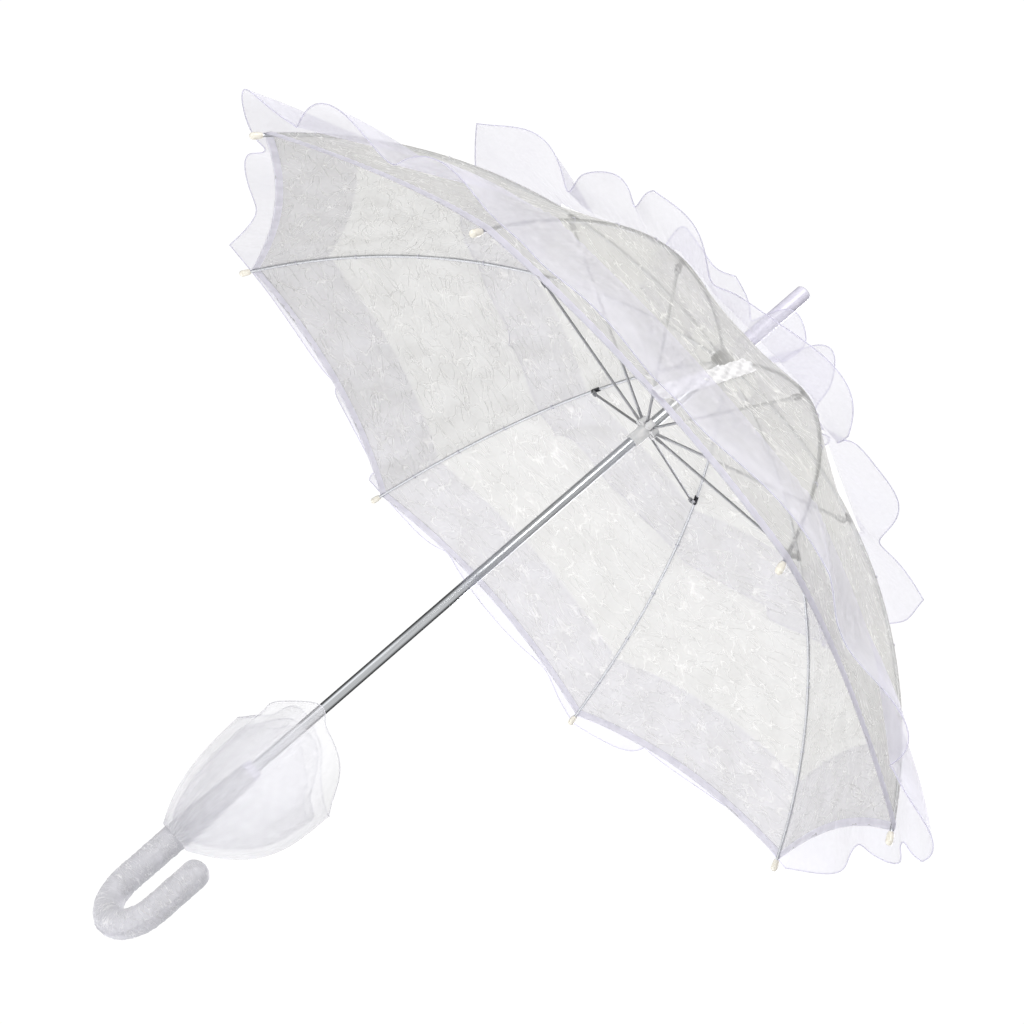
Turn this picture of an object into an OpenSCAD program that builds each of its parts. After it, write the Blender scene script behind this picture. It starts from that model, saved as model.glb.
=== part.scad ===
// Lace parasol: a crook handle, a steel shaft, a sliding runner and eight folding ribs under a lace canopy.
// Millimetres. +Z runs up the shaft to the ferrule, the origin is the middle of the hand grip,
// and the crook opens along +X. The canopy is drawn open, which is the rest pose.

/* [Canopy] */
// Distance from the shaft's axis to the middle of a rib tip
tip_radius = 335; // [300:5:380]
// Height of the rib tips above the middle of the grip
tip_height = 330; // [310:5:350]
// Height of the crown pivots above the rib tips
crown_rise = 193.6; // [180:0.1:205]
// Downward slope of a rib where it leaves the crown, in degrees
crown_slope = 2.5; // [1:0.5:5]
// Turn of the first rib from the crook's plane, in degrees
rib_turn = 33; // [25:1:40]
// How far the hem is drawn in, half-way between two ribs
hem_dip = 13; // [8:1:18]
// How far a panel sags inwards at its middle
panel_sag = 5; // [2:0.5:8]
// Thickness of the lace solids
cloth = 0.8; // [0.6:0.1:1.2]

/* [Frame] */
// Radius of the shaft tube
shaft_r = 4; // [3.8:0.1:4.2]
// Wall of the shaft tube
shaft_wall = 0.8; // [0.6:0.1:1]
// Radius of the pivot circle in the crown and in the runner
pivot_r = 7.2; // [7:0.1:7.6]
// Radius of the rib wire
rib_wire = 1.1; // [0.9:0.1:1.2]
// Arc length from the crown pivot to the stretcher clip
clip_at = 155; // [145:1:165]
// Drop of the stretcher rivet below the rib's middle
rivet_drop = 4.2; // [4:0.1:5]
// Angle that a rib folds through, in degrees
fold = 58; // [40:1:58]

/* [Handle] */
// Radius of the lace-covered grip
grip_r = 9.2; // [8.5:0.1:10]
// Radius of the crook's bend, at its middle
crook_r = 26; // [24:0.5:32]
// Depth of the bend's centre below the middle of the grip
crook_drop = 42; // [36:1:50]
// Straight length after the bend
crook_arm = 32; // [20:1:40]
// Height of the handle's top above the middle of the grip
handle_top = 66; // [58:1:72]

/* [Ferrule] */
// Radius of the ferrule's rod
ferrule_r = 6.4; // [6:0.1:7]
// Height of the ferrule's end above the crown pivots
ferrule_rise = 88; // [80:1:95]

/* [Hidden] */
RIBS = 8;
half = 180 / RIBS;
step = 360 / RIBS;
crown_z = tip_height + crown_rise;
shaft_low = 6;
shaft_high = crown_z + 46;
press_gap = 0.02;
gap = 0.3;
eps = 0.05;
$fn = 48;

// A rib is one arc from its crown pivot to its tip
chord_x = tip_radius - pivot_r;
chord = sqrt(chord_x * chord_x + crown_rise * crown_rise);
chord_slope = atan2(crown_rise, chord_x);
rib_sweep = 2 * (chord_slope - crown_slope);
rib_bend = chord / (2 * sin(rib_sweep / 2));
rib_length = rib_bend * rib_sweep * PI / 180;

function slope_at(s) = crown_slope + s / rib_bend * 180 / PI;
function arc_x(s, up) = pivot_r + rib_bend * (sin(slope_at(s)) - sin(crown_slope)) + up * sin(slope_at(s));
function arc_z(s, up) = crown_z - rib_bend * (cos(crown_slope) - cos(slope_at(s))) + up * cos(slope_at(s));

// The stretcher's rivet, and the runner pivot that mirrors the crown pivot below it
rivet_x = arc_x(clip_at, -rivet_drop);
rivet_z = arc_z(clip_at, -rivet_drop);
arm = sqrt(pow(rivet_x - pivot_r, 2) + pow(crown_z - rivet_z, 2));
arm_slope = atan2(crown_z - rivet_z, rivet_x - pivot_r);
runner_z = crown_z - 2 * arm * sin(arm_slope);
runner_travel = 2 * arm * (sin(arm_slope + fold) - sin(arm_slope));

// Pivot plates of the crown and the runner
notch_r = 9.2;
notch_h = 8;
flange_h = 6;
slot_w = 1.7;
plate = 1.2;
eye_r = 1.5;
ring_wire = 0.5;
eye_hole = 0.58;
runner_r = 5.3;
runner_drop = 16.5;
bore_gap = 0.08;
rim_h = 3;
spring_turn = rib_turn + 2.5 * step;
spring_w = 2;
spring_slot = 2.5;
spring_pin = 0.7;
spring_pin_x = 1.5;
spring_reach = 6.1;
spring_arm = 33;
wedge = 14;
runner_low = runner_z - runner_drop;

// Cloth layers, as distances above the middle of a rib
cloth_up = rib_wire + 0.45;
hem_at = rib_length - 5;
inner_at = 5;
frill_up = cloth_up + cloth + 0.6;

// Each tier of frill: where it is sewn on, where its free edge is, and how far that stands off
TIERS = [[28, 92, 20], [168, 238, 24], [330, rib_length + 14, 20]];

rib_names = [for (k = [1:RIBS]) str("rib_", k)];

steel = "silver";
dark_steel = "dimgray";
lace = "white";
organza = "lavender";
plastic = "whitesmoke";

// ---------- helpers ----------

// Turns a shape from the local frame, with x away from the shaft, to rib number k
module at_rib(k) {
    rotate([0, 0, rib_turn + (k - 1) * step]) children();
}

// Places a shape at a point of the rib's arc, its x along the rib and its z away from the canopy's inside
module on_arc(s, up = 0) {
    translate([arc_x(s, up), 0, arc_z(s, up)]) rotate([0, slope_at(s), 0]) children();
}

// A cylinder across the rib, centred
module cross_pin(r, w) {
    rotate([90, 0, 0]) cylinder(r = r, h = w, center = true);
}

// A thin closed sheet between two grids of points, nu cells by nv cells; wrap joins its two sides
module sheet(low, high, nu, nv, wrap = false) {
    row = wrap ? nu : nu + 1;
    n = row * (nv + 1);
    function at(i, j) = (wrap ? i % nu : i) + j * row;
    skin = [
        for (j = [0:nv - 1]) for (i = [0:nu - 1]) [at(i, j), at(i + 1, j), at(i + 1, j + 1), at(i, j + 1)]
    ];
    faces = concat(
        [for (f = skin) each [[f[2] + n, f[1] + n, f[0] + n], [f[3] + n, f[2] + n, f[0] + n]]],
        [for (f = skin) each [[f[0], f[1], f[2]], [f[0], f[2], f[3]]]],
        [for (i = [0:nu - 1]) each
            [[at(i, 0), at(i, 0) + n, at(i + 1, 0) + n], [at(i, 0), at(i + 1, 0) + n, at(i + 1, 0)]]],
        [for (i = [0:nu - 1]) each
            [[at(i + 1, nv), at(i + 1, nv) + n, at(i, nv) + n], [at(i + 1, nv), at(i, nv) + n, at(i, nv)]]],
        wrap ? [] : [for (j = [0:nv - 1]) each
            [[at(0, j + 1), at(0, j + 1) + n, at(0, j) + n], [at(0, j + 1), at(0, j) + n, at(0, j)]]],
        wrap ? [] : [for (j = [0:nv - 1]) each
            [[at(nu, j), at(nu, j) + n, at(nu, j + 1) + n], [at(nu, j), at(nu, j + 1) + n, at(nu, j + 1)]]]
    );
    polyhedron(points = concat(low, high), faces = faces, convexity = 6);
}

// ---------- canopy geometry ----------

// How far along from the rib (0) to the middle of the panel (1) something has sunk
function between(u) = 1 - pow(1 - abs(u), 2);

// A point of the cloth: s along the rib, u from -1 to 1 across to the two panel middles, up above the rib
function cloth_point(s, u, up) =
    let (x = arc_x(s, up), z = arc_z(s, up))
    let (most = 1 - gap / 2 / (x * sin(half)), v = max(-most, min(most, u)))
    [x * (1 - abs(v) * pow(sin(half), 2)), v * x * sin(half) * cos(half), z];

function hem(u) = hem_at - hem_dip * between(u);
function sag(s, u) = panel_sag * between(u) * sin(180 * min(1, max(0, s / hem_at)));

function panel_grid(nu, nv, up) = [
    for (j = [0:nv]) for (i = [0:nu])
        let (u = -1 + 2 * i / nu, s = inner_at + (hem(u) - inner_at) * j / nv)
        cloth_point(s, u, up - sag(s, u))
];

function frill_grid(tier, nu, nv, up, first) = [
    for (j = [0:nv]) for (i = [0:nu])
        let (across = -1 + 2 * i / nu, u = across < 0 ? -across * first : across, w = j / nv)
        let (s = tier[0] + (tier[1] - tier[0]) * w - hem_dip * between(u) * tier[0] / hem_at)
        cloth_point(s, u, up - sag(s, u) + tier[2] * pow(w, 1.4))
];

// ---------- shaft, crown and ferrule ----------

module spring_window(low, high) {
    rotate([0, 0, spring_turn]) translate([0, -spring_slot / 2, low])
        cube([shaft_r + 1, spring_slot, high - low]);
}

module shaft_tube() {
    color(steel) {
        difference() {
            translate([0, 0, shaft_low]) cylinder(r = shaft_r, h = shaft_high - shaft_low);
            translate([0, 0, shaft_low - 1])
                cylinder(r = shaft_r - shaft_wall, h = shaft_high - shaft_low + 2);
            spring_window(runner_low - wedge - 3, runner_low + 1);
            spring_window(closed_low() + rim_h, closed_low() + rim_h + wedge + 4);
        }
        for (z = [top_pin_z(), bottom_pin_z()])
            rotate([0, 0, spring_turn]) translate([spring_pin_x, 0, z]) cross_pin(spring_pin, 7);
    }
}

module crown_notch() {
    color(dark_steel) difference() {
        translate([0, 0, crown_z - notch_h / 2]) cylinder(r = notch_r, h = notch_h);
        translate([0, 0, crown_z - notch_h]) cylinder(r = shaft_r + press_gap, h = 2 * notch_h);
        pivot_slots(crown_z, notch_h);
        crown_ring(ring_wire + eps);
    }
}

// The eight radial slots of a pivot plate
module pivot_slots(z, h) {
    slot_in = pivot_r - eye_r - 0.25;
    for (k = [1:RIBS]) at_rib(k) translate([slot_in, -slot_w / 2, z - h]) cube([notch_r, slot_w, 2 * h]);
}

// The ring that threads the eight rib eyes
module crown_ring(r) {
    translate([0, 0, crown_z]) rotate_extrude() translate([pivot_r, 0]) circle(r = r, $fn = 24);
}

module crown_ring_wire() {
    color(steel) crown_ring(ring_wire);
}

module ferrule() {
    base_z = crown_z + notch_h / 2 + gap;
    end_z = crown_z + ferrule_rise;
    brim_r = 13;
    brim_h = 1.4;
    color(plastic) difference() {
        union() {
            translate([0, 0, base_z]) cylinder(r = brim_r, h = brim_h);
            translate([0, 0, base_z]) cylinder(r1 = ferrule_r + 2, r2 = ferrule_r, h = 6);
            translate([0, 0, base_z]) cylinder(r = ferrule_r, h = end_z - base_z - 2.4);
            translate([0, 0, end_z - 2.4]) rotate_extrude() intersection() {
                translate([ferrule_r - 2.4, 0]) circle(r = 2.4);
                square([ferrule_r, 2.4]);
            }
            translate([0, 0, end_z - 2.4]) cylinder(r = ferrule_r - 2.4, h = 2.4);
        }
        translate([0, 0, base_z - 1]) cylinder(r = shaft_r + press_gap, h = shaft_high + gap - base_z + 1);
    }
}

// ---------- handle ----------

crook_z = -crook_drop;

// The crook as one solid of radius r, from its top down round the bend to the end of the arm
module crook(r, top_r, top_z) {
    translate([0, 0, 20]) cylinder(r1 = r, r2 = top_r, h = top_z - 20);
    translate([0, 0, crook_z]) cylinder(r = r, h = 20 - crook_z);
    translate([crook_r, 0, crook_z]) rotate([-90, 0, 0]) rotate_extrude(angle = 180)
        translate([crook_r, 0]) circle(r = r);
    translate([2 * crook_r, 0, crook_z]) cylinder(r = r, h = crook_arm);
    translate([2 * crook_r, 0, crook_z + crook_arm]) sphere(r = r);
}

module handle_core() {
    core_r = grip_r - 1.3;
    color(plastic) difference() {
        crook(core_r, 5.6, handle_top - 4);
        translate([0, 0, shaft_low]) cylinder(r = shaft_r, h = handle_top);
    }
}

module handle_lace_sleeve() {
    color(lace) difference() {
        crook(grip_r, 6.9, handle_top - 4);
        crook(grip_r - 1.25, 5.65, handle_top - 4 + eps);
    }
}

module handle_collar() {
    color(lace) translate([0, 0, handle_top - 3.9]) difference() {
        cylinder(r1 = 7.6, r2 = 7, h = 6);
        translate([0, 0, -1]) cylinder(r = shaft_r + eps, h = 8);
    }
}

// The organza frill on the handle opens like a tulip towards the canopy, with a wide and a narrow lobe
lobe_turn = 59;
ruffle_low = -2;
function ruffle_reach(a) = 40 + 14 * cos(a - lobe_turn) + 3 * cos(2 * (a - lobe_turn));
function ruffle_rise(a) = 105 - 20 * cos(2 * (a - lobe_turn));
function ruffle_point(a, w, up) =
    let (open = 1 - pow(1 - w, 3), x = grip_r + 1.6 + up + (ruffle_reach(a) - grip_r) * open)
    [x * cos(a), x * sin(a), ruffle_low + ruffle_rise(a) * w];

module handle_ruffle() {
    nu = 28;
    nv = 8;
    function grid(up) = [for (j = [0:nv]) for (i = [0:nu - 1]) ruffle_point(360 * i / nu, j / nv, up)];
    color(organza) sheet(grid(0), grid(cloth), nu, nv, true);
}

// ---------- runner and springs ----------

module runner() {
    slot_h = runner_drop + flange_h;
    // The catch springs pass where one wedge of the flange, between two pivot slots, is left out
    wedge_w = 5.8;
    color(plastic) difference() {
        union() {
            translate([0, 0, runner_low]) cylinder(r = runner_r, h = runner_z - runner_low);
            translate([0, 0, runner_z - flange_h / 2]) cylinder(r = notch_r, h = flange_h);
        }
        translate([0, 0, runner_low - 1]) cylinder(r = shaft_r + bore_gap, h = runner_drop + flange_h);
        pivot_slots(runner_z, flange_h);
        rotate([0, 0, spring_turn]) {
            translate([0, -spring_slot / 2 - gap, runner_low + rim_h])
                cube([spring_reach + 0.5, spring_slot + 2 * gap, slot_h]);
            translate([runner_r - gap, -wedge_w / 2, runner_z - flange_h])
                cube([notch_r, wedge_w, 2 * flange_h]);
        }
    }
}

function closed_low() = runner_low - runner_travel;
function top_pin_z() = runner_low - 0.6 - spring_arm;
function bottom_pin_z() = closed_low() + rim_h + 0.6 + spring_arm;

// A catch spring, drawn with its pin at the origin and its shoulder at the top
module spring_blade() {
    rotate([90, 0, 0]) linear_extrude(height = spring_w, center = true) difference() {
        union() {
            polygon([
                [spring_pin_x - 1.2, 0], [spring_pin_x + 1.2, 0], [3, spring_arm - wedge],
                [spring_reach, spring_arm - 2], [spring_reach, spring_arm], [1.9, spring_arm]
            ]);
            translate([spring_pin_x, 0]) circle(r = 1.4);
        }
        translate([spring_pin_x, 0]) circle(r = spring_pin + 0.08);
    }
}

module top_spring() {
    color(dark_steel) rotate([0, 0, spring_turn]) translate([0, 0, top_pin_z()]) spring_blade();
}

module bottom_spring() {
    color(dark_steel) rotate([0, 0, spring_turn]) translate([0, 0, bottom_pin_z()])
        mirror([0, 0, 1]) spring_blade();
}

// ---------- ribs and stretchers ----------

module rib(k) {
    flat_to = 7;
    wire_end = rib_length + 1;
    color(steel) at_rib(k) difference() {
        union() {
            translate([pivot_r, 0, crown_z]) cross_pin(eye_r, plate);
            on_arc(0) translate([0, -plate / 2, -1]) cube([flat_to + 0.6, plate, 2]);
            wire_arc(flat_to, wire_end);
        }
        translate([pivot_r, 0, crown_z]) cross_pin(eye_hole, 3);
    }
}

// The rib's round wire, from arc length a to b
module wire_arc(a, b) {
    translate([pivot_r - rib_bend * sin(crown_slope), 0, crown_z - rib_bend * cos(crown_slope)])
        rotate([90, 0, 0]) rotate([0, 0, 90 - slope_at(b)])
            rotate_extrude(angle = slope_at(b) - slope_at(a), $fn = 90)
                translate([rib_bend, 0]) circle(r = rib_wire, $fn = 20);
}

module rib_tip(k) {
    bead_r = 2.5;
    color(plastic) at_rib(k) on_arc(rib_length) difference() {
        union() {
            translate([-3.5, 0, 0]) rotate([0, 90, 0]) cylinder(r1 = 1.9, r2 = bead_r, h = 2.5, $fn = 32);
            translate([-1, 0, 0]) rotate([0, 90, 0]) cylinder(r = bead_r, h = 4, $fn = 32);
            translate([3, 0, 0]) sphere(r = bead_r, $fn = 32);
        }
        translate([-6, 0, 0]) rotate([0, 90, 0]) cylinder(r = rib_wire + eps, h = 7.5, $fn = 32);
    }
}

module rib_clip(k) {
    clip_len = 8;
    rivet_len = 4.4;
    // The clip's tube is open above this height, so that the cloth passes over it
    clip_open = 0.5;
    color(dark_steel) at_rib(k) on_arc(clip_at) {
        difference() {
            union() {
                rotate([0, 90, 0]) cylinder(r = 1.8, h = clip_len, center = true, $fn = 32);
                translate([-1.4, -plate / 2, -rivet_drop]) cube([2.8, plate, rivet_drop]);
            }
            rotate([0, 90, 0]) cylinder(r = rib_wire + eps, h = clip_len + 1, center = true, $fn = 32);
            translate([-clip_len, -3, clip_open]) cube([2 * clip_len, 6, 3]);
        }
        translate([0, 0, -rivet_drop]) cross_pin(1.4, plate);
        translate([0, 0, -rivet_drop]) cross_pin(0.6, rivet_len);
    }
}

// A stretcher runs from its rivet, at the local origin, along +x to its eye in the runner
module stretcher(k) {
    fork_w = 3.8;
    flat_len = 9;
    color(dark_steel) at_rib(k) translate([rivet_x, 0, rivet_z]) rotate([0, 180 - arm_slope, 0])
        difference() {
            union() {
                cross_pin(1.5, fork_w);
                translate([0, -fork_w / 2, -1.5]) cube([6, fork_w, 3]);
                translate([5, 0, 0]) rotate([0, 90, 0]) cylinder(r = 1, h = arm - flat_len - 5, $fn = 24);
                translate([arm - flat_len - 1, -plate / 2, -1]) cube([flat_len + 1, plate, 2]);
                translate([arm, 0, 0]) cross_pin(eye_r, plate);
            }
            cross_pin(0.68, fork_w + 2);
            translate([-3, -0.8, -3]) cube([6.5, 1.6, 6]);
            translate([arm, 0, 0]) cross_pin(eye_hole + 0.1, 3);
        }
}

// ---------- cloth ----------

module canopy_panel(k) {
    nu = 8;
    nv = 16;
    color(lace) at_rib(k)
        sheet(panel_grid(nu, nv, cloth_up), panel_grid(nu, nv, cloth_up + cloth), nu, nv);
}

module frill(k) {
    nu = 8;
    nv = 3;
    color(organza) at_rib(k) for (i = [0:2])
        // The last panel's hem tier stops short of the closing strap
        let (first = (k == RIBS && i == 2) ? -0.8 : -1)
        let (low = frill_grid(TIERS[i], nu, nv, frill_up, first))
        let (high = frill_grid(TIERS[i], nu, nv, frill_up + cloth, first))
        sheet(low, high, nu, nv);
}

// The closing strap is sewn into the hem between the last two ribs and lies on the outside of the last panel
module closure_strap() {
    nv = 8;
    strap_end = 246;
    across = 0.075;
    function grid(up) = [
        for (j = [0:nv]) for (i = [0:1])
            let (w = j / nv, s = hem(-1) - 1 - (hem(-1) - strap_end) * w)
            let (u = -0.97 + 0.1 * w + i * across * (1 + 0.6 * w))
            cloth_point(s, u, up - sag(s, u))
    ];
    color(lace) at_rib(RIBS) sheet(grid(frill_up + cloth), grid(frill_up), 1, nv);
}

shaft_tube();
ferrule();
crown_notch();
crown_ring_wire();
handle_core();
handle_lace_sleeve();
handle_collar();
handle_ruffle();
runner();
top_spring();
bottom_spring();
closure_strap();
for (k = [1:RIBS]) rib(k);
for (k = [1:RIBS]) rib_tip(k);
for (k = [1:RIBS]) rib_clip(k);
for (k = [1:RIBS]) stretcher(k);
for (k = [1:RIBS]) canopy_panel(k);
for (k = [1:RIBS]) frill(k);
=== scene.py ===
# %% [markdown]
# # A lace parasol
# A small open parasol: a chromed shaft with a crook handle, eight bowed steel ribs, a lace canopy and sheer
# frills. The steel and plastic parts come from the CAD frame and get their real finishes here. The plain
# cloth solids of the frame are replaced by modelled cloth, because cloth is what the eye looks at on a
# parasol.

# %% The frame
import math

import bmesh
import bpy
from mathutils import Matrix, Vector, noise


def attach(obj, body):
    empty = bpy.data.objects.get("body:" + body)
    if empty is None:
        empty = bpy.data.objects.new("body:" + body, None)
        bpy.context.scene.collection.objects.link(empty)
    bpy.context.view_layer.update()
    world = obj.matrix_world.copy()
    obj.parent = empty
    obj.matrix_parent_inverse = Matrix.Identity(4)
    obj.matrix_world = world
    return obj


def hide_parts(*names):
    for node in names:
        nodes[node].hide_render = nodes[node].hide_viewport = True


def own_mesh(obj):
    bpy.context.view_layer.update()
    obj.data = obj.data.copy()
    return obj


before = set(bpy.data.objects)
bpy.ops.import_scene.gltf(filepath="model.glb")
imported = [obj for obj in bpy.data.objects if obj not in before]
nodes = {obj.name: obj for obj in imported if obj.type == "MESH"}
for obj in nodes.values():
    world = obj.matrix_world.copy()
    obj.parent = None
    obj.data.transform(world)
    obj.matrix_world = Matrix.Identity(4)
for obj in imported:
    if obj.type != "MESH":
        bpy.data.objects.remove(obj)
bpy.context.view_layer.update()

# %% [markdown]
# ## The camera
# The parasol is seen from below and in front of its rim, and the camera is rolled, so that the shaft runs
# across the picture. A rolled camera is easiest to state by its two axes: where it looks, and which way is
# right.

# %% The camera
camera_data = bpy.data.cameras.new("camera")
camera_data.lens = 69.05
camera_data.sensor_width = 36.0
camera = bpy.data.objects.new("camera", camera_data)
bpy.context.scene.collection.objects.link(camera)
bpy.context.scene.camera = camera
look = Vector((-0.832, 0.481, 0.277)).normalized()
right = Vector((0.508, 0.459, 0.729))
right = (right - right.dot(look) * look).normalized()
camera.matrix_world = Matrix((right, right.cross(look), -look)).transposed().to_4x4()
camera.location = (1.160, -0.6915, -0.0654)
print("The camera looks up by", round(math.degrees(math.asin(look.z))), "degrees")

# %% [markdown]
# ## Colours and nodes
# Colours are picked as sRGB hex values, as in any paint program, and Blender's sockets want linear light,
# so one function converts them. A second function adds a node, sets its inputs and links it, which keeps
# materials short.

# %% Colour and node helpers
MM = 0.001


def linear(hex_colour):
    """An sRGB hex colour, such as 'E6E6E3', as the linear colour that a socket takes."""
    parts = [int(hex_colour[i:i + 2], 16) / 255 for i in (0, 2, 4)]
    return tuple(c / 12.92 if c <= 0.04045 else ((c + 0.055) / 1.055) ** 2.4 for c in parts) + (1.0,)


def add(tree, kind, inputs=None, **settings):
    """Adds a node with its settings. An input is a value, or another node's output to link."""
    node = tree.nodes.new("ShaderNode" + kind)
    for name, value in settings.items():
        setattr(node, name, value)
    for name, value in (inputs or {}).items():
        if isinstance(value, bpy.types.NodeSocket):
            tree.links.new(value, node.inputs[name])
        else:
            node.inputs[name].default_value = value
    return node


def new_material(name):
    """An empty material and its node tree."""
    material = bpy.data.materials.new(name)
    material.use_nodes = True
    material.node_tree.nodes.clear()
    return material, material.node_tree


print("White is", linear("FFFFFF"), "and mid grey is", round(linear("808080")[0], 3))

# %% [markdown]
# ## The studio
# A white parasol on white needs light that still models its folds. The background is white to the eye. The
# light that reaches the cloth is even and comes from all round, so that sheer layers seen from behind stay
# bright. What chrome mirrors is darker behind the parasol than in front of it, which gives the shaft its
# dark edges. Three large soft boxes add the direction.

# %% The background
world = bpy.data.worlds.new("white_studio")
bpy.context.scene.world = world
world.use_nodes = True
sky = world.node_tree
sky.nodes.clear()
seen = add(sky, "LightPath")
direction = add(sky, "TexCoord").outputs["Generated"]
toward = add(sky, "VectorMath", {0: direction, 1: -look}, operation="DOT_PRODUCT")
mirrored = add(sky, "MapRange", {
    "Value": toward.outputs["Value"], "From Min": -0.2, "From Max": 0.5, "To Min": 0.12, "To Max": 1.0})
EVEN_LIGHT = 0.35
room = add(sky, "Mix", {0: seen.outputs["Is Glossy Ray"], 2: EVEN_LIGHT, 3: mirrored.outputs[0]})
fill = add(sky, "Background", {"Color": linear("F5F4F2"), "Strength": room.outputs[0]})
backdrop = add(sky, "Background", {"Color": linear("FFFFFF"), "Strength": 1.04})
choice = add(sky, "MixShader", {0: seen.outputs["Is Camera Ray"], 1: fill.outputs[0], 2: backdrop.outputs[0]})
add(sky, "OutputWorld", {"Surface": choice.outputs[0]})
bpy.context.scene.view_settings.view_transform = "Standard"
print("Cloth gets an even light of", EVEN_LIGHT, "from all round")

# %% The soft boxes
CANOPY_MIDDLE = Vector((0, 0, 0.38))


def soft_box(name, place, size, watts, colour):
    """A square area light that faces the canopy."""
    data = bpy.data.lights.new(name, "AREA")
    data.size = size
    data.energy = watts
    data.color = linear(colour)[:3]
    box = bpy.data.objects.new(name, data)
    bpy.context.scene.collection.objects.link(box)
    box.location = place
    box.rotation_euler = (CANOPY_MIDDLE - Vector(place)).to_track_quat("-Z", "Y").to_euler()


soft_box("key_light", (1.5, -1.7, 1.6), 1.5, 54, "FFFEFC")
soft_box("fill_light", (0.4, -2.2, -0.1), 1.6, 5, "FAFAFC")
soft_box("rim_light", (-1.2, 1.9, 1.5), 1.4, 62, "F8F7FC")
print("There are", len(bpy.data.lights), "soft boxes")

# %% The floor
FLOOR_Z = -0.30
FLOOR_RADIUS = 1.2
floor_mesh = bmesh.new()
bmesh.ops.create_circle(floor_mesh, cap_ends=True, segments=96, radius=FLOOR_RADIUS)
bmesh.ops.translate(floor_mesh, verts=floor_mesh.verts, vec=(0, 0, FLOOR_Z))
floor_data = bpy.data.meshes.new("floor")
floor_mesh.to_mesh(floor_data)
floor_mesh.free()
floor = bpy.data.objects.new("floor", floor_data)
bpy.context.scene.collection.objects.link(floor)
floor_paper, tree = new_material("studio_paper_matt")
paper_grain = add(tree, "TexNoise", {"Vector": add(tree, "TexCoord").outputs["Object"], "Scale": 60.0})
paper_bump = add(tree, "Bump", {"Height": paper_grain.outputs[0], "Distance": 0.05 * MM})
paper = add(tree, "BsdfPrincipled", {
    "Base Color": linear("FBFBFB"), "Roughness": 0.9, "Normal": paper_bump.outputs[0],
    "Emission Color": linear("FFFFFF"), "Emission Strength": 0.45})
add(tree, "OutputMaterial", {"Surface": paper.outputs[0]})
floor_data.materials.append(floor_paper)

# %% [markdown]
# ## Hard finishes
# The shaft is drawn steel tube with bright chrome plate, which is smooth enough to mirror the soft boxes.
# The ribs are drawn spring wire, duller, with marks along the wire. The stretchers are wire with a thin
# grey zinc coat. The crown plate, the rib clips and the springs are blackened steel. Runner, handle core,
# ferrule and rib tips are injection-moulded plastic, which has a faint flow in its gloss. All of them have
# the same few causes of variation, so one function makes them from real sizes.

# %% Hard finishes
def hard_finish(name, dark, light, metallic, roughness, spread, grain_mm, bump_mm,
                ior=None, stretch=(1, 1, 1)):
    """A solid material whose colour, gloss and surface vary with a grain of a real size."""
    material, tree = new_material(name)
    place = add(tree, "Mapping", {"Vector": add(tree, "TexCoord").outputs["Object"], "Scale": stretch})
    grain = add(tree, "TexNoise", {"Vector": place.outputs[0], "Scale": 1 / (grain_mm * MM), "Detail": 4.0})
    share = add(tree, "MapRange", {"Value": grain.outputs[0], "From Min": 0.32, "From Max": 0.68})
    colour = add(tree, "Mix", {0: share.outputs[0], 6: linear(dark), 7: linear(light)}, data_type="RGBA")
    gloss = add(tree, "MapRange", {
        "Value": grain.outputs[0], "From Min": 0.3, "From Max": 0.7,
        "To Min": roughness - spread, "To Max": roughness + spread})
    bump = add(tree, "Bump", {"Height": grain.outputs[0], "Distance": bump_mm * MM, "Strength": 0.5})
    surface = add(tree, "BsdfPrincipled", {
        "Base Color": colour.outputs[2], "Metallic": metallic,
        "Roughness": gloss.outputs[0], "Normal": bump.outputs[0]})
    if ior is not None:
        surface.inputs["IOR"].default_value = ior
    add(tree, "OutputMaterial", {"Surface": surface.outputs[0]})
    return material


# Bright chrome over drawn tube: a clear mirror with very faint lines along the tube
chrome = hard_finish(
    "chromed_steel_polished", "B6B9BD", "CDD0D4", 1.0, 0.09, 0.03, 1.2, 0.004, stretch=(1, 1, 0.02))
# Zinc-plated spring wire: grey, half bright
wire = hard_finish("spring_steel_wire_drawn", "B2B4B8", "DADCE0", 1.0, 0.32, 0.08, 0.7, 0.01)
# Blackened pressed steel: dark, with a soft sheen
black_steel = hard_finish("pressed_steel_blackened", "2C2C2F", "56565A", 1.0, 0.42, 0.08, 0.9, 0.02)
# Drawn stretcher wire with a thin grey zinc coat, duller than the ribs
grey_steel = hard_finish("stretcher_wire_zinc_coated", "86878A", "B0B1B5", 1.0, 0.38, 0.08, 0.8, 0.015)
# Polypropylene: milky, waxy gloss
milky_plastic = hard_finish("polypropylene_moulded", "D3D4D6", "E6E6E6", 0.0, 0.38, 0.05, 5.0, 0.02, ior=1.49)
# ABS: glossier, with a cool cast
white_plastic = hard_finish("abs_moulded_white", "D2D0E0", "E0DEEC", 0.0, 0.3, 0.05, 6.0, 0.02, ior=1.53)
# Polystyrene beads: warm white, high gloss
bead_plastic = hard_finish(
    "polystyrene_bead_moulded", "E6E1D2", "F5F2E8", 0.0, 0.22, 0.04, 1.5, 0.01, ior=1.59)

HARD = {
    "shaft_tube": chrome, "crown_notch": black_steel, "crown_ring_wire": wire, "handle_core": milky_plastic,
    "handle_collar": white_plastic, "ferrule": white_plastic, "runner": milky_plastic,
    "top_spring": black_steel, "bottom_spring": black_steel,
    "rib_tip": bead_plastic, "rib_clip": black_steel, "stretcher": grey_steel, "rib": wire,
}
finished = 0
for name, node in nodes.items():
    kind = name if name in HARD else name.rstrip("0123456789").rstrip("_")
    if kind in HARD:
        node.data.materials.clear()
        node.data.materials.append(HARD[kind])
        finished += 1
print("Hard finishes are on", finished, "nodes")

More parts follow.
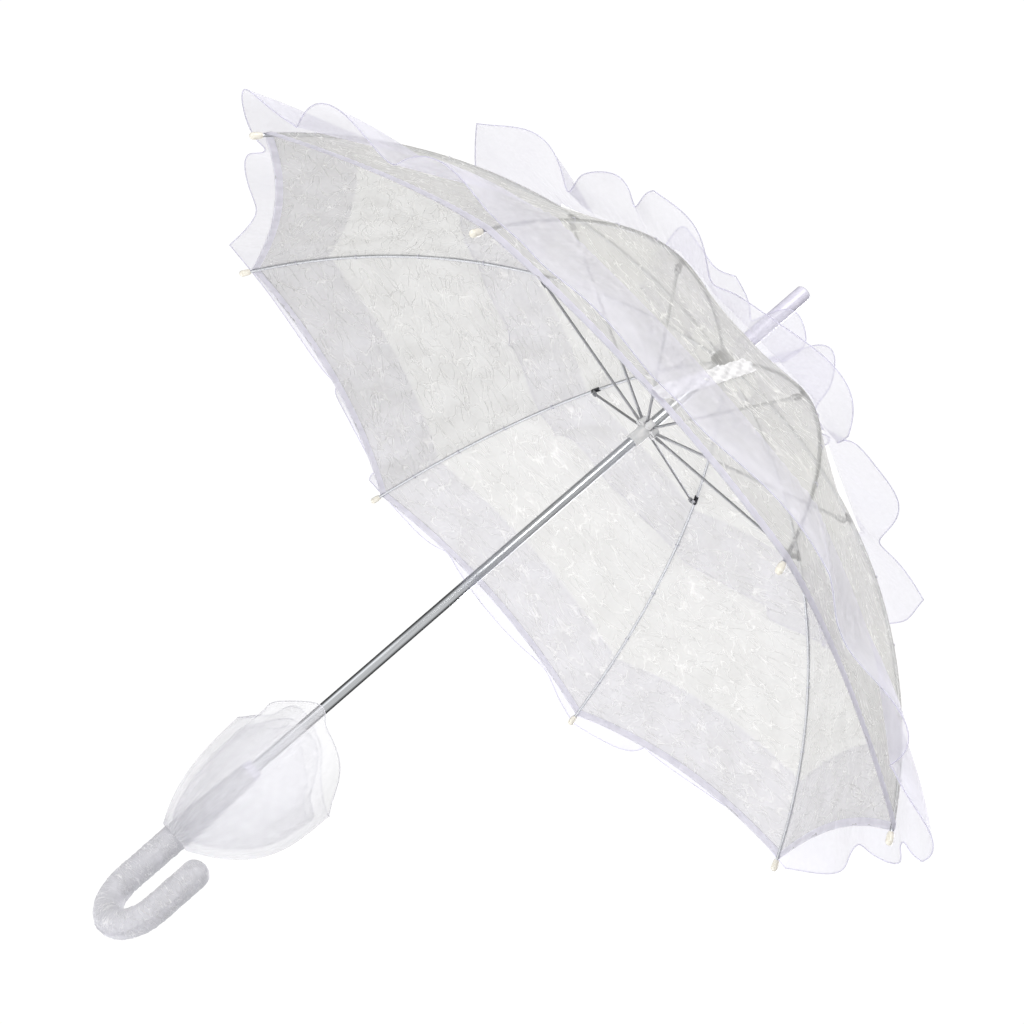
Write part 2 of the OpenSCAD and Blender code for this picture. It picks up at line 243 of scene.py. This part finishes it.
# %% [markdown]
# ## Cloth finishes
# The canopy is crinkled lace: a sheer ground with short, wavy raised veins of thicker thread. The frills
# are organza, a crisp sheer plain weave with a rolled edge. The hem and the strap are satin ribbon. Sheer
# cloth is full of holes, and the holes are far too small to model, so how much thread covers a spot is an
# opacity that varies over the cloth. The threads themselves reflect on one side and let light through to
# the other. Patterns lie on the cloth's own flat map, in metres, so they stay at true size on every panel.

# %% A cloth material
# Three sets of veins cross each other: the size of their waves, the width of a vein in the field, and a seed
VEIN_SETS = ((1.0, 0.016, 0.0), (0.7, 0.015, 5.3), (0.85, 0.014, 9.1))


def cloth_finish(name, ground, thread, cover, vein_cover, vein_mm, weave_mm, dense_cover, through, relief_mm):
    """Sheer cloth with raised veins, unless vein_mm is None. It is denser where the value 'dense' is 1."""
    material, tree = new_material(name)
    flat = add(tree, "UVMap", uv_map="cloth").outputs[0]
    patch = add(tree, "TexNoise", {"Vector": flat, "Scale": 1 / (26 * MM), "Detail": 2.0})
    patch_cover = add(tree, "MapRange", {
        "Value": patch.outputs[0], "From Min": 0.35, "From Max": 0.65,
        "To Min": cover * 0.86, "To Max": cover * 1.14}).outputs[0]
    threads = add(tree, "TexNoise", {"Vector": flat, "Scale": 1 / (weave_mm * MM), "Detail": 1.0})
    height = threads.outputs[0]
    shade = patch.outputs[0]
    total = patch_cover
    if vein_mm:
        lines = []
        for turn, (size, width, seed) in enumerate(VEIN_SETS):
            laid = add(tree, "Mapping", {
                "Vector": flat, "Rotation": (0, 0, math.radians(-24 + 28 * turn)), "Scale": (0.55, 1.5, 1.0)})
            field = add(tree, "TexNoise", {
                "Vector": laid.outputs[0], "W": seed, "Scale": 1 / (vein_mm * size * MM), "Detail": 1.0,
                "Distortion": 0.35}, noise_dimensions="4D")
            away = add(tree, "Math", {0: field.outputs[0], 1: 0.5}, operation="SUBTRACT")
            away = add(tree, "Math", {0: away.outputs[0]}, operation="ABSOLUTE")
            lines.append(add(tree, "MapRange", {
                "Value": away.outputs[0], "From Min": 0.0, "From Max": width, "To Min": 1.0, "To Max": 0.0}))
        both = add(tree, "Math", {0: lines[0].outputs[0], 1: lines[1].outputs[0]}, operation="MAXIMUM")
        both = add(tree, "Math", {0: both.outputs[0], 1: lines[2].outputs[0]}, operation="MAXIMUM")
        where = add(tree, "TexNoise", {"Vector": flat, "Scale": 1 / (15 * MM), "Detail": 1.0})
        kept = add(tree, "MapRange", {
            "Value": where.outputs[0], "From Min": 0.36, "From Max": 0.56, "To Min": 0.25, "To Max": 1.0})
        vein = add(tree, "Math", {0: both.outputs[0], 1: kept.outputs[0]}, operation="MULTIPLY").outputs[0]
        total = add(tree, "Math", {0: vein, 1: vein_cover, 2: patch_cover}, operation="MULTIPLY_ADD")
        total = total.outputs[0]
        height = vein
        shade = vein
    dense = add(tree, "Attribute", attribute_name="dense").outputs["Fac"]
    total = add(tree, "Math", {0: dense, 1: dense_cover, 2: total}, operation="MULTIPLY_ADD", use_clamp=True)
    colour = add(tree, "Mix", {0: shade, 6: linear(ground), 7: linear(thread)}, data_type="RGBA").outputs[2]
    bump = add(tree, "Bump", {"Height": height, "Distance": relief_mm * MM, "Strength": 0.8}).outputs[0]
    front = add(tree, "BsdfPrincipled", {
        "Base Color": colour, "Roughness": 0.62, "IOR": 1.53, "Normal": bump, "Sheen Weight": 0.15})
    back = add(tree, "BsdfTranslucent", {"Color": colour, "Normal": bump})
    thread_light = add(tree, "MixShader", {0: through, 1: front.outputs[0], 2: back.outputs[0]})
    holes = add(tree, "BsdfTransparent")
    surface = add(tree, "MixShader", {0: total.outputs[0], 1: holes.outputs[0], 2: thread_light.outputs[0]})
    add(tree, "OutputMaterial", {"Surface": surface.outputs[0]})
    return material


# Raschel lace, knitted in polyester; its veins follow waves of 17 to 24 mm
lace = cloth_finish("polyester_lace_crinkled", "CFCFCC", "F2F2EF", 0.58, 0.36, 24.0, 0.9, 0.12, 0.45, 0.5)
# The handle's lace is a closer net than the canopy's, with smaller veins
wrap_lace = cloth_finish("polyester_lace_wrapped", "D9D9DF", "F4F4F6", 0.78, 0.22, 7.0, 0.9, 0.2, 0.3, 0.35)
# Nylon organza, plain weave; its threads are drawn at 1.2 mm, coarser than real, so that they show
organza = cloth_finish("nylon_organza_woven", "E2E0F0", "F0EFF9", 0.42, 0.0, None, 1.2, 0.26, 0.7, 0.08)
# The handle's frill is starched organza of the same weave, a little sheerer and less blue
stiff_organza = cloth_finish(
    "nylon_organza_starched", "E2E2E6", "F0F0F3", 0.38, 0.0, None, 1.2, 0.3, 0.6, 0.08)
# Polyester satin ribbon, close weave
satin = cloth_finish("polyester_satin_ribbon", "E4E3EF", "F5F4FB", 0.80, 0.0, None, 0.8, 0.12, 0.3, 0.06)
# The strap is a closer, whiter satin than the hem
strap_satin = cloth_finish(
    "polyester_satin_strap", "F0F0F3", "FDFDFE", 0.90, 0.0, None, 0.8, 0.08, 0.25, 0.06)
# A ray may pass many sheer layers, so it is allowed that many
bpy.context.scene.cycles.transparent_max_bounces = 48
cloths = (lace, wrap_lace, organza, stiff_organza, satin, strap_satin)
print("Cloth materials:", ", ".join(cloth.name for cloth in cloths))

# %% [markdown]
# ## The shape of the canopy
# Each rib is one arc from its pivot in the crown to its tip. A spot on the cloth is given by how far it is
# along the rib, how far across towards the middle of the panel (-1 to 1), and how high above the rib. The
# cloth sinks a little between ribs, and its hem curves inwards there. These are the design's own values.

# %% Canopy geometry
RIBS = 8
FIRST_RIB = math.radians(33)
HALF = math.pi / RIBS
PIVOT_R = 7.2
RIB_BEND = 404.578
RIB_LENGTH = 396.364
CROWN_Z = 523.6
CROWN_SLOPE = math.radians(2.5)
HEM_AT = RIB_LENGTH - 5
HEM_DIP = 13
SAG = 5
CLOTH_UP = 1.55
FRILL_UP = 2.95


def rib_turn(k):
    """The direction of rib k, from 1 to 8, as an angle round the shaft."""
    return FIRST_RIB + (k - 1) * 2 * HALF


def between(u):
    """0 over a rib, rising to 1 in the middle of a panel."""
    return 1 - (1 - abs(u)) ** 2


def hem(u):
    return HEM_AT - HEM_DIP * between(u)


def sag(s, u):
    return SAG * between(u) * math.sin(math.pi * min(1, max(0, s / HEM_AT)))


def cloth_point(k, s, u, up, along=0.0):
    """A spot of the cloth on rib k's gore, in metres. along moves it round the parasol, in millimetres."""
    slope = CROWN_SLOPE + s / RIB_BEND
    x = PIVOT_R + RIB_BEND * (math.sin(slope) - math.sin(CROWN_SLOPE)) + up * math.sin(slope)
    z = CROWN_Z - RIB_BEND * (math.cos(CROWN_SLOPE) - math.cos(slope)) + up * math.cos(slope)
    across = math.sin(HALF)
    spot = Vector((x * (1 - abs(u) * across ** 2), x * u * across * math.cos(HALF), z))
    spot += along * Vector((-math.sin(u * HALF), math.cos(u * HALF), 0))
    return Matrix.Rotation(rib_turn(k), 3, "Z") @ spot * MM


print("Rib tip at", [round(c, 3) for c in cloth_point(1, RIB_LENGTH, 0, 0)])

# %% [markdown]
# ## Cutting a sheet
# Every piece of cloth starts as a flat grid, whose vertices then move to their places. Before they move,
# each corner gets its place on the flat cloth as a UV, in metres, for the patterns. A value called dense
# marks seams and edges, where the cloth is folded double or gathered.

# %% A sheet of cloth
def make_object(name, bm, material):
    data = bpy.data.meshes.new(name)
    for face in bm.faces:
        face.smooth = True
    bm.to_mesh(data)
    bm.free()
    data.materials.append(material)
    piece = bpy.data.objects.new(name, data)
    bpy.context.scene.collection.objects.link(piece)
    return piece


def cloth_sheet(name, columns, rows, place, cut, dense, material, flip=True, closed=False):
    """A grid whose spot (u from -1 to 1, w from 0 to 1) goes to place(u, w); cut(u, w) is its flat place.

    closed merges the vertices that meet, as at the seam of a tube or at a pole."""
    bm = bmesh.new()
    uv = bm.loops.layers.uv.new("cloth")
    bmesh.ops.create_grid(bm, x_segments=columns, y_segments=rows, size=1)
    doubled = bm.verts.layers.float.new("dense")
    for face in bm.faces:
        for loop in face.loops:
            loop[uv].uv = cut(loop.vert.co.x, (loop.vert.co.y + 1) / 2)
    for vert in bm.verts:
        u, w = vert.co.x, (vert.co.y + 1) / 2
        vert[doubled] = dense(u, w)
        vert.co = place(u, w)
    if closed:
        bmesh.ops.remove_doubles(bm, verts=bm.verts, dist=0.001 * MM)
    if flip:
        bmesh.ops.reverse_faces(bm, faces=bm.faces)
    return make_object(name, bm, material)


def line_length(place, w):
    """The length of the line w = constant on a placed sheet, in metres."""
    spots = [place(-1 + i / 60, w) for i in range(121)]
    return sum((b - a).length for a, b in zip(spots, spots[1:]))


def line_length_down(place, u):
    """The length of the line u = constant on a placed sheet, in metres."""
    spots = [place(u, i / 40) for i in range(41)]
    return sum((b - a).length for a, b in zip(spots, spots[1:]))


def tube_along(name, path, radius, steps, sides, material, closed=False):
    """A thin round cord along path(t), t from 0 to 1, as a grid rolled round it."""
    bm = bmesh.new()
    uv = bm.loops.layers.uv.new("cloth")
    bmesh.ops.create_grid(bm, x_segments=steps, y_segments=sides, size=1)
    doubled = bm.verts.layers.float.new("dense")
    length = sum((path((i + 1) / steps) - path(i / steps)).length for i in range(steps))
    for face in bm.faces:
        for loop in face.loops:
            loop[uv].uv = ((loop.vert.co.x + 1) / 2 * length, math.pi * radius * (loop.vert.co.y + 1))
    for vert in bm.verts:
        t, turn = (vert.co.x + 1) / 2, math.pi * (vert.co.y + 1)
        h = 0.002
        after = path(t + h) if closed or t < 1 - h else path(t)
        before = path(t - h) if closed or t > h else path(t)
        ahead = (after - before).normalized()
        side = ahead.cross(Vector((0.03, 0.02, 1))).normalized()
        vert[doubled] = 1.0
        vert.co = path(t) + radius * (math.cos(turn) * side + math.sin(turn) * ahead.cross(side))
    bmesh.ops.remove_doubles(bm, verts=bm.verts, dist=0.001 * MM)
    bmesh.ops.holes_fill(bm, edges=[e for e in bm.edges if e.is_boundary], sides=sides + 1)
    bmesh.ops.recalc_face_normals(bm, faces=bm.faces)
    return make_object(name, bm, material)


def fold_with_rib(piece, k):
    """The cloth of gore k rides on its rib."""
    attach(piece, f"rib_{k}")
    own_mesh(piece)


# %% [markdown]
# ## The lace canopy
# The real canopy is eight lace gores, each sewn to its ribs. Here a gore is centred on its rib and meets
# its neighbours in the middle of the panels, with the same slope, so the canopy reads as one stretched
# sheet and can still fold with its ribs. Small puckers come from noise on the real position, so that they
# run on across two gores. They fade out over the rib, which holds the lace.

# %% Lace gores
CANOPY_FROM = 5.5


def pucker(k, s, u):
    """Small unevenness of stretched lace, in millimetres."""
    spot = cloth_point(k, s, u, 0)
    return 0.55 * noise.noise(spot * 42) + 0.25 * noise.noise(spot * 110)


def lace_place(k):
    def place(u, w):
        s = CANOPY_FROM + (hem(u) - CANOPY_FROM) * w
        return cloth_point(k, s, u, CLOTH_UP - sag(s, u) + pucker(k, s, u) * min(1, 12 * abs(u)))
    return place


def lace_cut(u, w):
    s = CANOPY_FROM + (hem(u) - CANOPY_FROM) * w
    return (u * math.sin(HALF) * s * MM, (HEM_AT - s) * MM)


def lace_dense(u, w):
    """Doubled at the seam over the rib."""
    return max(0.0, 1 - abs(u) * 60 * (0.2 + w)) * 0.6


gore_width = 2 * math.sin(HALF) * HEM_AT * MM
for k in range(1, RIBS + 1):
    gore = cloth_sheet(f"canopy_lace_{k}", 56, 84, lace_place(k), lace_cut, lace_dense, lace)
    fold_with_rib(gore, k)
    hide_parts(f"canopy_panel_{k}")

# %% [markdown]
# ## The hem
# The lace is turned over at the rim and bound with a narrow satin ribbon, which shows as a brighter band
# with a crisp edge. A band that wraps round the edge, from inside to outside, gives that edge its
# thickness.

# %% Hem bands
HEM_WIDTH = 6


def hem_place(k):
    def place(u, w):
        turn = math.pi * (w - 0.5)
        s = hem(u) + 0.6 - (HEM_WIDTH * abs(2 * w - 1) ** 1.2)
        ripple = 0.25 * math.sin(240 * (rib_turn(k) + u * HALF))
        up = CLOTH_UP - sag(s, u) + 0.75 * math.sin(turn) + ripple * abs(math.sin(turn))
        return cloth_point(k, s, u, up)
    return place


for k in range(1, RIBS + 1):
    band = cloth_sheet(
        f"canopy_hem_{k}", 64, 10, hem_place(k),
        lambda u, w: (u * gore_width / 2, 2 * HEM_WIDTH * w * MM), lambda u, w: 0.3, satin, flip=False)
    fold_with_rib(band, k)
print("The hem band is", HEM_WIDTH, "mm wide")

# %% [markdown]
# ## The frills
# Three strips of organza are gathered on to the outside of the canopy: round the crown, half-way and at the
# hem. A gathered strip is longer than the line it is sewn to, so its free edge must go in waves. Each wave
# both lifts off the canopy and leans along it, which gives rounded lobes. The waves depend on the angle
# round the whole parasol, so a strip runs on from one gore to the next.

# %% The three tiers
TIERS = {
    # sewn at, free edge, stand-off, waves all round, lift, lean, scallop (mm), seed
    "crown": (28, 88, 24, 8, 17, 8, 9, 0.7),
    "middle": (168, 234, 22, 13, 15, 14, 8, 2.9),
    "hem": (330, RIB_LENGTH + 4, 19, 16, 13, 16, 8, 4.6),
}
GATHERS = 184


def frill_place(k, tier):
    sewn, edge, stand, waves, lift, lean, scallop, seed = TIERS[tier]

    def place(u, w):
        angle = rib_turn(k) + u * HALF
        phase = waves * angle + 1.5 * math.sin(3 * angle + seed) + 1.0 * math.sin(5 * angle + 2.1 * seed)
        strength = 0.72 + 0.28 * math.sin(4 * angle + 3 * seed)
        wave = math.sin(phase) + 0.22 * math.sin(2 * phase + seed)
        s = sewn + (edge - sewn) * w - HEM_DIP * between(u) * sewn / HEM_AT
        s += scallop * w ** 2 * (0.7 * math.sin(phase) + 0.5 * math.sin(4 * angle + seed))
        gather = 0.7 * (1 - w) ** 2 * math.sin(GATHERS * angle)
        up = FRILL_UP + 0.9 + gather - sag(s, u) + stand * w ** 1.2 + lift * strength * wave * w ** 0.8
        return cloth_point(k, s, u, max(up, FRILL_UP), -lean * strength * w * math.cos(phase))
    return place


EDGE_RADIUS = 0.45 * MM
for tier in TIERS:
    for k in range(1, RIBS + 1):
        place = frill_place(k, tier)
        free = line_length(place, 1.0)
        depth = sum(line_length_down(place, u) for u in (-0.8, -0.3, 0.2, 0.7)) / 4
        cut_area = depth * sum(line_length(place, w) for w in (0.1, 0.3, 0.5, 0.7, 0.9)) / 5
        frill = cloth_sheet(
            f"frill_{tier}_{k}", 110, 18, place,
            lambda u, w: (u * free / 2, (1 - w) * depth),
            lambda u, w: max(0.0, 1 - w * depth / (5 * MM)) * 0.5, organza)
        edge_roll = tube_along(
            f"frill_{tier}_edge_{k}", lambda t: place(2 * min(1, max(0, t)) - 1, 1.0), EDGE_RADIUS,
            110, 5, organza)
        for piece in (frill, edge_roll):
            fold_with_rib(piece, k)
        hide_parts(f"frill_{k}")
    print("Frill", tier, "has a free edge of", round(free * 1000), "mm on each gore")

# %% [markdown]
# ## The closing strap
# A satin ribbon is sewn into the hem between two ribs and lies on the outside of the last panel, a little
# scrunched. It is there to be wrapped round the closed parasol by hand.

# %% Closing strap
STRAP_END = 246
STRAP_ACROSS = 0.075


def strap_place(u, w):
    s = hem(-1) - 1 - (hem(-1) - STRAP_END) * w
    across = -0.97 + 0.2 * w + (u + 1) / 2 * STRAP_ACROSS * (1 + 0.6 * w)
    scrunch = 1.1 * math.sin(34 * w + 3 * u) * math.cos(2.2 * u) + 0.8 * math.sin(71 * w - 5 * u)
    return cloth_point(RIBS, s, across, FRILL_UP + 1.2 - sag(s, across) + scrunch)


strap_length = line_length_down(strap_place, 0)
strap_width = line_length(strap_place, 0.5)
strap = cloth_sheet(
    "closing_strap", 18, 90, strap_place, lambda u, w: (u * strap_width / 2, w * strap_length),
    lambda u, w: 0.4 * abs(u) ** 6, strap_satin, flip=False)
fold_with_rib(strap, RIBS)
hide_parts("closure_strap")
print("The strap is", round(strap_length * 1000), "mm long")

# %% [markdown]
# ## Thread ties
# The lace is tied to each rib with a loop of thread at intervals, or it would slide along the wire. Each
# loop is a ring of thread round rib and cloth, a few dozen faces each, because there are many of them.

# %% Thread ties
TIE_AT = (52, 104, 205, 258, 308, 356)
TIE_RADIUS = 1.75
for k in range(1, RIBS + 1):
    ties = []
    for s in TIE_AT:
        def loop(t, s=s, k=k):
            angle = 2 * math.pi * t
            up = 0.3 + TIE_RADIUS * math.cos(angle)
            return cloth_point(k, s + 0.5 * math.sin(angle), 0, up, TIE_RADIUS * math.sin(angle))
        ties.append(tube_along(f"tie_{k}_{s}", loop, 0.3 * MM, 12, 4, satin, closed=True))
    bm = bmesh.new()
    for tie in ties:
        bm.from_mesh(tie.data)
        bpy.data.objects.remove(tie)
    knots = make_object(f"rib_ties_{k}", bm, satin)
    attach(knots, f"rib_{k}")
print("There are", len(TIE_AT) * RIBS, "thread ties")

# %% [markdown]
# ## The handle's lace
# The crook is a plastic core with lace wrapped round it. The lace has real relief that catches the light,
# so the veins are raised in the mesh: a strip of lace follows the crook, and noise lines push it out by up
# to half a millimetre.

# %% Handle lace
GRIP_R = 9.2
CROOK_R = 26
CROOK_Z = -42
ARM = 32
HANDLE_TOP = 62
BEND_FROM = HANDLE_TOP - CROOK_Z
ARM_FROM = BEND_FROM + math.pi * CROOK_R
CROOK_LENGTH = ARM_FROM + ARM + GRIP_R


def crook_point(angle, d, lift):
    """A spot on the crook's skin, d along from its top and lift above it, in metres."""
    if d <= BEND_FROM:
        middle, inner = Vector((0, 0, HANDLE_TOP - d)), Vector((1, 0, 0))
    elif d <= ARM_FROM:
        bend = (d - BEND_FROM) / CROOK_R
        inner = Vector((math.cos(bend), 0, math.sin(bend)))
        middle = Vector((CROOK_R, 0, CROOK_Z)) - CROOK_R * inner
    else:
        middle, inner = Vector((2 * CROOK_R, 0, CROOK_Z + d - ARM_FROM)), Vector((-1, 0, 0))
    radius = GRIP_R - max(0, 1 - d / (HANDLE_TOP - 20)) * 2.3 + lift
    past = d - ARM_FROM - ARM
    if past > 0:
        radius *= math.sqrt(max(0, 1 - (past / GRIP_R) ** 2))
    return (middle + radius * (math.cos(angle) * inner + math.sin(angle) * Vector((0, 1, 0)))) * MM


# The strip of lace goes a little more than once round, so its seam is lapped
LAP = 1.05
VEIN_RELIEF = 0.42


def wrap_place(u, w):
    d = CROOK_LENGTH * w
    angle = math.pi * LAP * u
    base = crook_point(angle, d, 0)
    vein = max(0, 1 - abs(noise.noise(base * 190)) / 0.12)
    vein += max(0, 1 - abs(noise.noise(base * 310)) / 0.1) * 0.5
    return crook_point(angle, d, 0.1 + VEIN_RELIEF * min(vein, 1.2) + 0.25 * (u + 1))


handle_lace = cloth_sheet(
    "handle_lace", 84, 300, wrap_place, lambda u, w: (u * math.pi * LAP * GRIP_R * MM, w * CROOK_LENGTH * MM),
    lambda u, w: 0.0, wrap_lace, closed=True)
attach(handle_lace, "stick")
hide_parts("handle_lace_sleeve")
print("The lace on the handle is", round(CROOK_LENGTH), "mm long")

# %% [markdown]
# ## The collar and the handle's frill
# Where the shaft goes in, the plastic collar holds the end of the lace. Below it, on the grip, a double
# layer of organza starts and flares towards the canopy like a lily, with one wide lobe and one narrow
# lobe. The inner layer is shorter and waved differently.

# %% Handle frill
LOBE_TURN = math.radians(59)
FRILL_LOW = -2
INNER_LIFT = 40


def ruffle_place(size, seed, lift):
    def place(u, w):
        angle = math.pi * u
        lobe = angle - LOBE_TURN
        reach = (40 + 14 * math.cos(lobe) + 3 * math.cos(2 * lobe)) * size
        rise = (105 - 20 * math.cos(2 * lobe)) * size
        wave = math.sin(5 * angle + seed) + 0.5 * math.sin(9 * angle + 2 * seed)
        gather = 0.6 * (1 - w) ** 2 * math.sin(30 * angle)
        out = GRIP_R + 1.8 + lift + gather + (reach - GRIP_R) * (1 - (1 - w) ** 3) + 2.6 * wave * w ** 1.5
        turn = angle - 0.08 * math.cos(5 * angle + seed) * w
        z = FRILL_LOW + INNER_LIFT * (1 - size) + rise * w + 2 * math.sin(7 * angle + seed) * w ** 2
        return Vector((out * math.cos(turn), out * math.sin(turn), z)) * MM
    return place


for name, size, seed, lift in (("outer", 1.0, 0.4, 0.6), ("inner", 0.82, 2.2, 0.0)):
    place = ruffle_place(size, seed, lift)
    free = line_length(place, 1.0)
    depth = sum(line_length_down(place, u) for u in (-0.8, -0.3, 0.2, 0.7)) / 4
    cut_area = depth * sum(line_length(place, w) for w in (0.1, 0.3, 0.5, 0.7, 0.9)) / 5
    ruffle = cloth_sheet(
        f"handle_frill_{name}", 150, 30, place, lambda u, w: (u * free / 2, (1 - w) * depth),
        lambda u, w: max(0.0, 1 - w * 12) * 0.6, stiff_organza, closed=True)
    edge_roll = tube_along(
        f"handle_frill_edge_{name}", lambda t: place(2 * (t % 1) - 1, 1.0), 0.4 * MM,
        150, 5, stiff_organza, closed=True)
    for piece in (ruffle, edge_roll):
        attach(piece, "stick")
    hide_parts("handle_ruffle")
    print("The", name, "handle frill has a free edge of", round(free * 1000), "mm")
